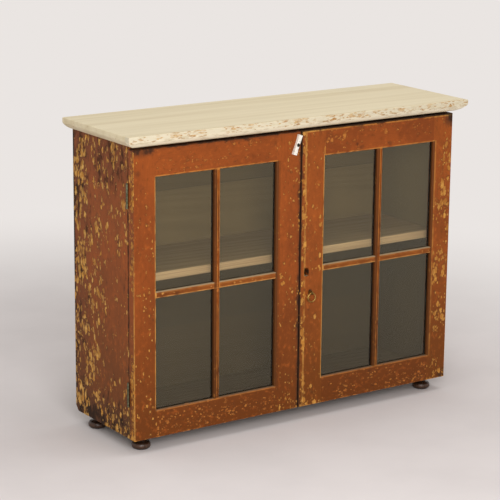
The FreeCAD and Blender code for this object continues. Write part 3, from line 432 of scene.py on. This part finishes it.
def slotted_screws():
    """Low screw heads with a driver slot, one on each seat, the slots left at any angle."""
    tree, size = new_growth("slotted_screws", (
        ("Seats", "Geometry"), ("Head Radius", "Float"), ("Head Height", "Float"), ("Slot Width", "Float"),
        ("Facing", "Vector"), ("Seed", "Int"), ("Finish", "Material")), "Screws")
    rim = calc(tree, "MULTIPLY", size["Head Radius"], 0.86)
    feeds = {"Vertices": 24, "Radius Top": rim, "Radius Bottom": size["Head Radius"],
             "Depth": size["Head Height"]}
    head = put(tree, "GeometryNodeMeshCone", feeds).outputs[0]
    across = calc(tree, "MULTIPLY", size["Head Radius"], 2.4)
    span = put(tree, "ShaderNodeCombineXYZ", {0: across, 1: size["Slot Width"], 2: size["Head Height"]})
    lift = put(tree, "ShaderNodeCombineXYZ", {2: calc(tree, "MULTIPLY", size["Head Height"], 0.85)})
    cutter = put(tree, "GeometryNodeMeshCube", {"Size": span.outputs[0]}).outputs[0]
    feeds = {"Geometry": cutter, "Translation": lift.outputs[0]}
    cutter = put(tree, "GeometryNodeTransform", feeds).outputs[0]
    slotted = put(tree, "GeometryNodeMeshBoolean", {0: head, 1: cutter}, operation="DIFFERENCE").outputs[0]
    feeds = {2: 0.0, 3: pi, 8: size["Seed"]}
    angle = put(tree, "FunctionNodeRandomValue", feeds, data_type="FLOAT").outputs[1]
    spin = turned_by(tree, put(tree, "ShaderNodeCombineXYZ", {2: angle}).outputs[0])
    feeds = {0: turned_by(tree, size["Facing"]), 1: spin}
    stance = put(tree, "FunctionNodeRotateRotation", feeds, rotation_space="LOCAL").outputs[0]
    set_out(tree, size["Seats"], slotted, stance, size["Finish"])
    return tree


def grown(name, tree, points, lines, inputs):
    """Runs a tree on points, or on lines between them, and gives the result as a plain mesh object."""
    mesh = bpy.data.meshes.new(name + "_seats")
    mesh.from_pydata(points, lines, [])
    seats = bpy.data.objects.new(name + "_seats", mesh)
    bpy.context.scene.collection.objects.link(seats)
    modifier = seats.modifiers.new("grow", "NODES")
    modifier.node_group = tree
    for item in tree.interface.items_tree:
        if item.in_out == "INPUT" and item.name in inputs:
            modifier[item.identifier] = inputs[item.name]
    ready = seats.evaluated_get(bpy.context.evaluated_depsgraph_get())
    result = bpy.data.meshes.new_from_object(ready)
    seats.modifiers.remove(modifier)
    bpy.data.objects.remove(seats)
    result.name = name
    piece = bpy.data.objects.new(name, result)
    bpy.context.scene.collection.objects.link(piece)
    return piece


TO_FRONT, TO_BACK, TO_RIGHT = (pi / 2, 0, 0), (-pi / 2, 0, 0), (0, pi / 2, 0)
screw_tree = slotted_screws()
screw_steel = dull_metal(
    "screw_steel", (168, 160, 138), (128, 120, 100), (92, 58, 34), polish=0.68, rusty=0.0)
leaf_low, leaf_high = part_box("left_hinge_leaves")
leaf_edge = -leaf_high[0]
half_hinge = 0.030
screw_step, outer_screw, middle_screw = 0.022, 0.007, 0.004
door_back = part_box("left_hinge_stile")[1][1]


def leaf_seats(sides, face):
    """Seats of the three screws in each leaf, on a face of some sides' hinges."""
    row = ((-screw_step, outer_screw), (0.0, middle_screw), (screw_step, outer_screw))
    seats = []
    for side in sides:
        for middle in (leaf_low[2] + half_hinge, leaf_high[2] - half_hinge):
            for step, from_edge in row:
                seats.append((side * (leaf_edge + from_edge), face, middle + step))
    return seats


for body, sides, face, facing, seed in (("case", (-1, 1), case_front, TO_FRONT, 3),
                                        ("left_door", (-1,), door_back, TO_BACK, 5),
                                        ("right_door", (1,), door_back, TO_BACK, 8)):
    screws = grown(body + "_leaf_screws", screw_tree, leaf_seats(sides, face), [], {
        "Head Radius": 0.0027, "Head Height": 0.0003, "Slot Width": 0.0007,
        "Facing": facing, "Seed": seed, "Finish": screw_steel})
    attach(screws, body)


# Door frames
# Stiles and rails tenoned and pegged, with moulded bars halved together between them.
# The same red-brown paint as the case, rubbed to tan along every moulded edge, with painted shade in the
# mouldings, the reveals and every gap, and painted highlights along the bars and mouldings.

UPRIGHT, LEVEL = (1, 1, 0.66), (0.72, 1, 1)
stile_low, stile_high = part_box("left_hinge_stile")
door_end, door_front = -stile_low[0], stile_low[1]
door_foot, door_head = stile_low[2], stile_high[2]
sight_end, sight_middle = -stile_high[0], -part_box("left_meeting_stile")[0][0]
sight_foot, sight_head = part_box("left_bottom_rail")[1][2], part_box("left_top_rail")[0][2]
bar_across, bar_level = (sight_end + sight_middle) / 2, (sight_foot + sight_head) / 2
half_sight_wide, half_sight_high = (sight_end - sight_middle) / 2, (sight_head - sight_foot) / 2
half_bar = (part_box("left_cross_bar")[1][2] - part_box("left_cross_bar")[0][2]) / 2
glass_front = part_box("left_pane_lower_outer")[0][1]
keyhole = (0.0205, door_front + 0.006, 0.380)
eye = [(low + high) / 2 for low, high in zip(*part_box("screw_eye"))]


def front_spots(tree, place, spots):
    """The largest share at any of some spots on the door fronts: across, up, half width, half height."""
    return most(tree, *(near(tree, place, (across, door_front, up), (half_wide, 0.03, half_tall))
                        for across, up, half_wide, half_tall in spots))


def door_loss(tree, place, x, y, z):
    """Flakes: on the outer edges, low down, down the right stile, along the meeting edges and at knocks."""
    edge_side = rise(tree, calc(tree, "ABSOLUTE", x), door_end - 0.0014, door_end - 0.0005)
    outer_edge = times(tree, edge_side, rise(tree, y, door_front + 0.026, door_front + 0.008, top=0.95))
    low = rise(tree, z, 0.12, 0.05, top=0.42)
    foot_edge = rise(tree, z, door_foot + 0.004, door_foot + 0.0015, top=1.1)
    tall = times(tree, rise(tree, z, 0.10, 0.2), rise(tree, z, 0.70, 0.64))
    right_stile = times(tree, rise(tree, x, sight_end - 0.003, sight_end + 0.016, top=0.6), tall)
    right_meeting = times(tree, rise(tree, x, 0.021, 0.015, top=0.8), rise(tree, x, 0.0035, 0.006))
    left_meeting = times(tree, rise(tree, x, -0.016, -0.006, top=0.45), rise(tree, x, -0.0035, -0.006))
    heads = front_spots(tree, place, ((0.14, 0.712, 0.16, 0.035), (-0.30, 0.682, 0.2, 0.03)))
    knocks = front_spots(tree, place, (
        (0.071, 0.682, 0.003, 0.024), (0.130, 0.713, 0.010, 0.018), (0.090, 0.700, 0.007, 0.010),
        (0.256, 0.706, 0.007, 0.010), (0.294, 0.704, 0.007, 0.014), (-0.056, 0.381, 0.007, 0.010),
        (-0.052, 0.360, 0.006, 0.009), (-0.034, 0.707, 0.008, 0.008), (-0.055, 0.724, 0.009, 0.006)))
    worst = most(tree, outer_edge, low, foot_edge, right_stile, right_meeting, left_meeting,
                 times(tree, heads, 0.36), times(tree, knocks, 2.2), 0.14)
    in_front = rise(tree, y, door_back - 0.001, door_back - 0.003)
    return times(tree, worst, in_front, rise(tree, z, door_head - 0.004, door_head - 0.0065))


def door_dirt_and_shade(tree, place, x, y, z):
    """Dirt in spots and round the keyhole; painted shade under the slab, inside the keyhole, in the reveals
    and every gap; darker round the eye.
    """
    # The two top corners are painted shade under the slab; the bottom right one is dirt.
    corners = front_spots(tree, place, (
        (-0.450, 0.733, 0.07, 0.035), (0.465, 0.725, 0.05, 0.05), (0.465, 0.045, 0.03, 0.03)))
    smudges = front_spots(tree, place, (
        (0.183, 0.675, 0.016, 0.010), (0.270, 0.676, 0.016, 0.010), (-0.459, 0.678, 0.014, 0.014)))
    # Dirt round the keyhole, and painted shade inside it.
    keyhole_dirt_and_shade = times(tree, near(tree, place, keyhole, (0.0095, 0.04, 0.015)), 3.0)
    # Darker round the eye.
    darker_round_eye = near(tree, place, (eye[0], door_front, eye[2] + 0.001), (0.011, 0.03, 0.012))
    spots = most(tree, times(tree, corners, 0.9), times(tree, smudges, 0.75), keyhole_dirt_and_shade, darker_round_eye)
    across = calc(tree, "ABSOLUTE", x)
    # Painted shade on the outer edges towards the back, where the doors meet the case.
    seam_shade = times(tree, rise(tree, y, door_back - 0.006, door_back - 0.001, top=0.9),
                 rise(tree, across, door_end - 0.002, door_end - 0.0008))
    # Painted shade in the reveals between the moulding and the glass.
    reveal_shade = times(tree, rise(tree, y, door_front + 0.0042, door_front + 0.006, top=2.2),
                   rise(tree, y, glass_front + 0.0015, glass_front),
                   rise(tree, away(tree, across, bar_across), half_sight_wide + 0.006, half_sight_wide))
    # Painted shadow under the slab: a dark line along the top edge, darker on the right door, and a soft
    # shade below it.
    blacker_right = calc(tree, "ADD", rise(tree, x, -0.001, 0.001, top=1.4), 1.0)
    head_edge = times(tree, rise(tree, z, door_head - 0.0036, door_head - 0.002), blacker_right)
    under_slab = rise(tree, z, door_head - 0.018, door_head, top=0.6)
    # Painted shade in the gap between the doors and on the meeting stiles beside it.
    between = rise(tree, across, 0.0034, 0.002, top=3.0)
    left_meeting = times(tree, rise(tree, x, -0.016, -0.002, top=0.8), rise(tree, x, 0.0, -0.001))
    right_meeting = times(tree, rise(tree, x, 0.013, 0.002, top=0.8), rise(tree, x, 0.0, 0.001))
    gap_shade = most(tree, head_edge, under_slab, between, left_meeting, right_meeting)
    gap_shade = times(tree, gap_shade, rise(tree, y, door_back - 0.002, door_back - 0.004))
    return most(tree, spots, seam_shade, reveal_shade, gap_shade, 0.2)


def door_rub_and_highlight(tree, place, x, y, z):
    """Rubbed lines on the sight edges, bars, outer corners and right door's top edge, and painted highlights
    on bars, moulding and meeting stile.
    """
    across = calc(tree, "ABSOLUTE", x)
    # The line to the right of the right door's panes is a painted highlight on the moulding.
    side_lines = [rise(tree, away(tree, x, edge), 0.003, 0.0014, top=share)
                  for edge, share in ((-sight_end - 0.0014, 1.0), (sight_middle - 0.0014, 1.0),
                                      (sight_end + 0.0072, 0.4))]
    # On each bar the line down the middle is a painted highlight of a ridge; the one near its right edge is
    # rubbed.
    side_lines += [rise(tree, away(tree, x, bar + off), half_line, half_line / 3, top=share)
                   for bar in (-bar_across, bar_across)
                   for off, half_line, share in ((0.0004, 0.0012, 0.8), (0.0066, 0.0018, 1.0))]
    level_lines = [rise(tree, away(tree, z, edge), 0.0032, 0.0018, top=share)
                   for edge, share in ((sight_foot - 0.0014, 0.6), (sight_head + 0.0014, 1.0))]
    level_lines += [rise(tree, away(tree, z, bar_level + off), 0.0022, 0.0012, top=share)
                    for off, share in ((-0.0064, 0.8), (0.0046, 0.2))]
    tall = rise(tree, away(tree, z, bar_level), half_sight_high + 0.004, half_sight_high + 0.0015)
    wide = rise(tree, away(tree, across, bar_across), half_sight_wide + 0.004, half_sight_wide + 0.0015)
    head_line = times(tree, rise(tree, z, door_head - 0.0075, door_head - 0.0045, top=0.9),
                      rise(tree, x, 0.0, 0.001))
    # Painted highlight of a bead on the right door's meeting stile.
    meeting_line = rise(tree, away(tree, x, 0.0145), 0.0038, 0.0015, top=0.6)
    corner = times(tree, rise(tree, across, door_end - 0.0018, door_end - 0.0008), rise(tree, z, 0.6, 0.1))
    upright = times(tree, most(tree, *side_lines), tall)
    level = times(tree, most(tree, *level_lines), wide)
    lines = most(tree, upright, level, head_line, meeting_line, corner)
    return times(tree, lines, rise(tree, facing_up(tree, "Normal"), 0.9, 0.1),
                 rise(tree, y, door_front + 0.0044, door_front + 0.0032, top=0.85))


def moulding_shade(tree, x, y, z):
    """Painted shade, brown and even, in the mouldings on the right of each pane."""
    edges = ((-sight_middle, 0.007, 0.9), (-sight_middle, 0.0125, 0.45), (sight_end, 0.006, 0.84),
             (-bar_across - half_bar, half_bar, 0.72), (bar_across - half_bar, half_bar, 0.72))
    bands = [times(tree, rise(tree, x, edge - 0.0006, edge),
                   rise(tree, x, edge + wide, edge + 0.7 * wide, top=share)) for edge, wide, share in edges]
    return times(tree, most(tree, *bands), rise(tree, y, glass_front + 0.0015, glass_front),
                 rise(tree, away(tree, z, bar_level), half_sight_high + 0.003, half_sight_high))


def dust(tree, z):
    """Grey dust on what faces up, thickest on the cross bars; the doors' top edges stay clear of it."""
    layer = calc(tree, "ADD", rise(tree, z, sight_foot + 0.02, bar_level - 0.02, top=0.5), 0.2)
    return times(tree, rise(tree, facing_up(tree, "Normal"), 0.3, 0.7),
                 rise(tree, z, door_head - 0.002, door_head - 0.004), layer)


brown_wood, orange_wood = ((162, 92, 36), (188, 120, 52)), ((172, 98, 40), (194, 128, 58))
ochre_wood, pale_wood = ((182, 120, 48), (202, 146, 70)), ((190, 128, 58), (222, 160, 84))
BOTH = ("left_", "right_")
for name, coat, dull, bare_wood, grain, cell, members in (
        ("stile_paint", (146, 72, 25), (126, 61, 21), ochre_wood, UPRIGHT, 118.0,
         ["left_hinge_stile", "left_meeting_stile"] + [side + "joint_pegs" for side in BOTH]),
        ("worn_stile_paint", (152, 77, 27), (132, 66, 23), ochre_wood, UPRIGHT, 92.0,
         ["right_hinge_stile", "right_meeting_stile"]),
        ("rail_paint", (146, 72, 25), (126, 61, 21), brown_wood, LEVEL, 118.0,
         [side + piece for side in BOTH for piece in ("top_rail", "bottom_rail")]),
        ("upright_bar_paint", (138, 68, 14), (86, 40, 9), orange_wood, UPRIGHT, 140.0,
         [side + "upright_bar" for side in BOTH]),
        ("cross_bar_paint", (142, 76, 25), (114, 58, 17), pale_wood, LEVEL, 140.0,
         [side + "cross_bar" for side in BOTH])):
    door_paint, tree, (x, y, z), colour, roughness, height = worn_paint(
        name, coat, dull, bare_wood, grain, cell, door_loss, door_dirt_and_shade, door_rub_and_highlight)
    # Painted shade in the mouldings.
    colour = mixed(tree, moulding_shade(tree, x, y, z), colour, tone(84, 46, 14))
    colour = mixed(tree, dust(tree, z), colour, tone(170, 152, 120))
    lay_on(tree, colour, roughness, height, 0.0006, Specular_IOR_Level=0.15)
    dress(door_paint, *members)


# Glazing
# Thin window glass in each opening, set against the moulded edge from behind. Light and shadows
# pass straight through it to the inside. Mitred beads hold it, pinned with brads and coloured near black:
# dark stain, and painted shade behind the glass.

material, tree, place, _ = new_finish("window_glass")
ripple = cloud(tree, drawn_out(tree, place, (1, 1, 0.5)), 9.0, 2.0)
bump = put(tree, "ShaderNodeBump", {"Strength": 0.03, "Distance": 0.002, "Height": ripple}).outputs[0]
glass = put(tree, "ShaderNodeBsdfPrincipled", {
    "Base Color": (0.92, 0.915, 0.86, 1.0), "Roughness": 0.02, "Transmission Weight": 1.0, "IOR": 1.45,
    "Specular IOR Level": 0.13, "Specular Tint": (1.0, 0.95, 0.74, 1.0), "Normal": bump}).outputs[0]
clear = put(tree, "ShaderNodeBsdfTransparent", {"Color": (0.88, 0.9, 0.87, 1.0)}).outputs[0]
rays = put(tree, "ShaderNodeLightPath").outputs
glass = put(tree, "ShaderNodeMixShader", {0: rays["Is Diffuse Ray"], 1: glass, 2: clear}).outputs[0]
glass = put(tree, "ShaderNodeMixShader", {0: rays["Is Shadow Ray"], 1: glass, 2: clear}).outputs[0]
put(tree, "ShaderNodeOutputMaterial", {0: glass})
for side in BOTH:
    for spot in ("lower_outer", "lower_inner", "upper_outer", "upper_inner"):
        dress(material, side + "pane_" + spot)
# The beads are near black: dark stain, and painted shade behind the glass.
bead_pine = bare_pine("bead_pine", (26, 20, 15), (18, 14, 11), (0.5, 1, 0.5))
dress(bead_pine, "left_glazing_beads", "right_glazing_beads")


def pinned_brads():
    """Small brad heads spaced along lines."""
    tree, size = new_growth("pinned_brads", (
        ("Lines", "Geometry"), ("Spacing", "Float"), ("Head Radius", "Float"), ("Head Height", "Float"),
        ("Facing", "Vector"), ("Finish", "Material")), "Brads")
    path = put(tree, "GeometryNodeMeshToCurve", {0: size["Lines"]}).outputs[0]
    feeds = {"Curve": path, "Length": size["Spacing"]}
    path = put(tree, "GeometryNodeResampleCurve", feeds, mode="LENGTH").outputs[0]
    crown = calc(tree, "MULTIPLY", size["Head Radius"], 0.6)
    feeds = {"Vertices": 10, "Radius Top": crown, "Radius Bottom": size["Head Radius"],
             "Depth": size["Head Height"]}
    head = put(tree, "GeometryNodeMeshCone", feeds).outputs[0]
    set_out(tree, path, head, turned_by(tree, size["Facing"]), size["Finish"])
    return tree


brad_tree = pinned_brads()
bead_middle, from_corner = 0.0045, 0.022
bead_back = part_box("left_glazing_beads")[1][1]
for side, body in ((-1, "left_door"), (1, "right_door")):
    points, lines = [], []
    for x0, x1 in ((sight_middle, bar_across - half_bar), (bar_across + half_bar, sight_end)):
        for z0, z1 in ((sight_foot, bar_level - half_bar), (bar_level + half_bar, sight_head)):
            runs = [((x0 + from_corner, z), (x1 - from_corner, z))
                    for z in (z0 - bead_middle, z1 + bead_middle)]
            runs += [((x, z0 + from_corner), (x, z1 - from_corner))
                     for x in (x0 - bead_middle, x1 + bead_middle)]
            for run in runs:
                lines.append((len(points), len(points) + 1))
                points += [(side * x, bead_back, z) for x, z in run]
    brads = grown(body + "_bead_brads", brad_tree, points, lines, {
        "Spacing": 0.075, "Head Radius": 0.0008, "Head Height": 0.0004,
        "Facing": TO_BACK, "Finish": screw_steel})
    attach(brads, body)


# Turn button
# A whittled wooden button, painted white, that swings across to hold the right door shut.
# It turns on one round-headed screw in the left door, gone black.

material, tree, place, _ = new_finish("white_paint")
brush = cloud(tree, drawn_out(tree, place, (1, 1, 0.3)), 420.0)
grub = cloud(tree, place, 160.0, 4.0)
white = mixed(tree, rise(tree, brush, 0.4, 0.7, top=0.6), tone(238, 234, 224), tone(216, 208, 192))
white = mixed(tree, rise(tree, grub, 0.58, 0.7, top=0.7), white, tone(150, 126, 96))
lay_on(tree, white, rise(tree, grub, 0.0, 1.0, top=0.9), brush, 0.0003, Specular_IOR_Level=0.25)
dress(material, "turn_button")
black_screw = dull_metal("black_screw", (80, 74, 64), (40, 36, 32), (48, 32, 22), polish=0.65, rusty=0.05)
dress(black_screw, "turn_button_screw")


# Lock and keeper
# A plain cut-in lock with a sliding bolt behind a bare keyhole, and its keeper in the other door.
# Pressed steel, each plate held by small slotted screws.

lock_steel = dull_metal("lock_steel", (104, 98, 86), (62, 58, 50), (78, 50, 32), polish=0.64, rusty=0.04)
dress(lock_steel, "lock_case", "lock_bolt", "keeper_plate")
lock_low, lock_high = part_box("lock_case")
keeper_low, keeper_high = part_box("keeper_plate")
from_rim = 0.0045
lock_seats = [(x, lock_high[1], z) for x in (lock_low[0] + from_rim, lock_high[0] - from_rim)
              for z in (lock_low[2] + from_rim, lock_high[2] - from_rim)]
keeper_seats = [(keeper_high[0], (keeper_low[1] + keeper_high[1]) / 2, z)
                for z in (keeper_low[2] + from_rim, keeper_high[2] - from_rim)]
for name, body, seats, facing, seed in (("lock_screws", "right_door", lock_seats, TO_BACK, 13),
                                        ("keeper_screws", "left_door", keeper_seats, TO_RIGHT, 21)):
    screws = grown(name, screw_tree, seats, [], {
        "Head Radius": 0.0022, "Head Height": 0.0003, "Slot Width": 0.0006,
        "Facing": facing, "Seed": seed, "Finish": screw_steel})
    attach(screws, body)


# Ring pull
# A bent wire ring that hangs in a screw eye, both of brass gone brown in the hollows.
# The eye's shank is turned into the right door's meeting stile.

old_brass = dull_metal("old_brass", (196, 160, 86), (128, 98, 48), (80, 56, 30), polish=0.78, rusty=0.0)
dress(old_brass, "ring_pull")
brown_brass = dull_metal("brown_brass", (168, 140, 78), (108, 86, 44), (60, 44, 24), polish=0.72, rusty=0.03)
dress(brown_brass, "screw_eye")


# Floor, light and camera
# A plain pale floor that runs on into an even backdrop, soft light from the front and above,
# and the camera where the photograph was taken from.

reach = 16.0
bare_floor, all_backdrop = 0.8, 2.4
floor_mesh = bpy.data.meshes.new("floor")
floor_corners = [(-reach, -reach, 0), (reach, -reach, 0), (reach, reach, 0), (-reach, reach, 0)]
floor_mesh.from_pydata(floor_corners, [], [(0, 1, 2, 3)])
floor = bpy.data.objects.new("floor", floor_mesh)
bpy.context.scene.collection.objects.link(floor)
BACKDROP = tone(234, 229, 226)


def seen_rays(tree):
    """1 for the rays that show the backdrop: to the camera, in gloss and through glass."""
    rays = put(tree, "ShaderNodeLightPath").outputs
    return most(tree, rays["Is Camera Ray"], rays["Is Glossy Ray"], rays["Is Transmission Ray"])


material, tree, place, _ = new_finish("floor_finish")
feeds = {0: place, 1: (-0.35, 0.05, 0.0)}
from_middle = put(tree, "ShaderNodeVectorMath", feeds, operation="DISTANCE").outputs["Value"]
uneven = rise(tree, cloud(tree, place, 3.0, 4.0), 0.3, 0.7)
screed = mixed(tree, uneven, tone(226, 219, 217), tone(220, 213, 211))
matt = put(tree, "ShaderNodeBsdfDiffuse", {"Color": screed}).outputs[0]
glow = put(tree, "ShaderNodeEmission", {"Color": BACKDROP, "Strength": 1.0}).outputs[0]
share = times(tree, rise(tree, from_middle, bare_floor, all_backdrop), seen_rays(tree))
finish = put(tree, "ShaderNodeMixShader", {0: share, 1: matt, 2: glow}).outputs[0]
put(tree, "ShaderNodeOutputMaterial", {0: finish})
floor_mesh.materials.append(material)

sky = bpy.data.worlds.new("studio")
sky.use_nodes = True
tree = sky.node_tree
tree.nodes.clear()
lit = put(tree, "ShaderNodeBackground", {"Color": (1.0, 0.985, 0.97, 1.0), "Strength": 0.55}).outputs[0]
shown = put(tree, "ShaderNodeBackground", {"Color": BACKDROP, "Strength": 1.0}).outputs[0]
sky_light = put(tree, "ShaderNodeMixShader", {0: seen_rays(tree), 1: lit, 2: shown}).outputs[0]
put(tree, "ShaderNodeOutputWorld", {0: sky_light})
bpy.context.scene.world = sky


def soft_lamp(name, spot, aim, size, watts):
    data = bpy.data.lights.new(name, "AREA")
    data.shape = "DISK"
    data.size = size
    data.energy = watts
    lamp = bpy.data.objects.new(name, data)
    lamp.location = spot
    lamp.rotation_euler = (Vector(aim) - Vector(spot)).to_track_quat("-Z", "Y").to_euler()
    bpy.context.scene.collection.objects.link(lamp)


soft_lamp("front_lamp", spot=(-1.45, -2.55, 1.3), aim=(0, -0.1, 0.5), size=1.6, watts=57.0)
soft_lamp("top_lamp", spot=(0.3, -0.4, 3.0), aim=(0, 0, 0.7), size=2.0, watts=20.0)

lens = bpy.data.cameras.new("photo_view")
lens.sensor_width = 36.0
lens.lens = 139.398
camera = bpy.data.objects.new("photo_view", lens)
camera.location = (-2.67723, -3.83651, 1.58556)
camera.rotation_euler = (1.324707, -0.009131, -0.596376)
bpy.context.scene.collection.objects.link(camera)
bpy.context.scene.camera = camera
bpy.context.scene.view_settings.view_transform = "Standard"
